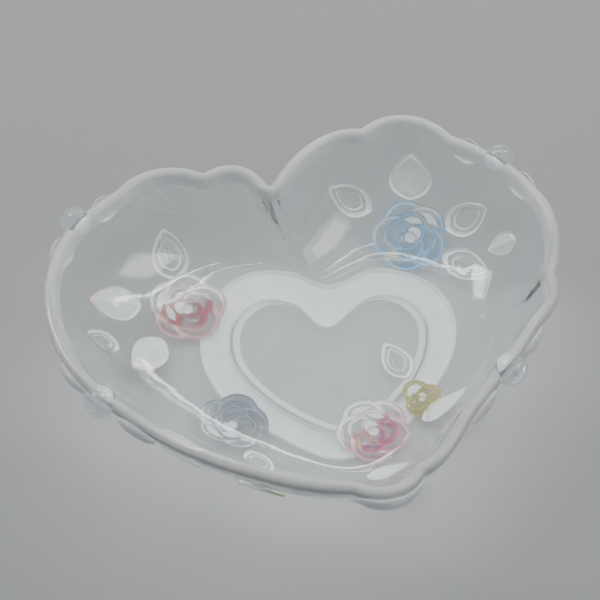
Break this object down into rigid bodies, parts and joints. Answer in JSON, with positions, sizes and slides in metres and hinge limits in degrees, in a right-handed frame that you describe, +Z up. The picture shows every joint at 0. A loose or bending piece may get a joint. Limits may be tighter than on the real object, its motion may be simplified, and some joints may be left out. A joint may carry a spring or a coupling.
{
  "type": "heart-shaped glass bowl",
  "caption": "Open heart-shaped bowl of thick clear pressed glass with a scalloped rim, raised stained roses, satin leaves and a satin heart foot.",
  "frame": {"origin": "centre of the bowl's bounding box in plan, on the plane the foot rests on", "axes": "+Z up out of the bowl, +X across the two lobes, +Y from the heart's tip towards the notch"},
  "size_m": [0.1851, 0.166, 0.0454],
  "materials": {
    "clear_glass": "polished clear pressed glass",
    "satin_glass": "acid-etched satin",
    "crimson_stain": "crimson and gold stain on clear relief",
    "blue_stain": "pale blue stain on clear relief",
    "grey_stain": "grey-blue stain on clear relief",
    "pink_stain": "pink stain on clear relief",
    "olive_stain": "yellow-olive stain on clear relief",
    "green_stain": "faint green stain on clear relief"
  },
  "bodies": {
    "root": {"bowl": "clear_glass", "foot_band": "satin_glass", "floor_panel": "clear_glass", "tip_lobe": "satin_glass", "rose_crimson": "crimson_stain", "rose_blue": "blue_stain", "rose_grey": "grey_stain", "rose_pink": "pink_stain", "bud_olive": "olive_stain", "leaf_left_back": "clear_glass", "leaf_left_satin": "satin_glass", "leaf_left_green": "green_stain", "leaf_left_low": "satin_glass", "leaf_top_satin": "satin_glass", "leaf_top_clear": "clear_glass", "leaf_right_clear": "clear_glass", "leaf_right_low": "clear_glass", "leaf_right_satin": "satin_glass", "leaf_grey_low": "clear_glass", "leaf_pink_behind": "satin_glass", "leaf_pink_under": "satin_glass", "leaf_pink_over": "clear_glass", "leaf_near_a": "clear_glass", "leaf_near_b": "clear_glass", "bead_left_back": "clear_glass", "petal_left_back_a": "satin_glass", "petal_left_back_b": "satin_glass", "bead_left_front": "clear_glass", "petal_left_front_a": "satin_glass", "petal_left_front_b": "satin_glass", "bead_right_front": "clear_glass", "petal_right_front_a": "satin_glass", "petal_right_front_b": "satin_glass", "bead_right_back": "clear_glass", "petal_right_back_a": "satin_glass", "petal_right_back_b": "satin_glass"}
  },
  "joints": []
}
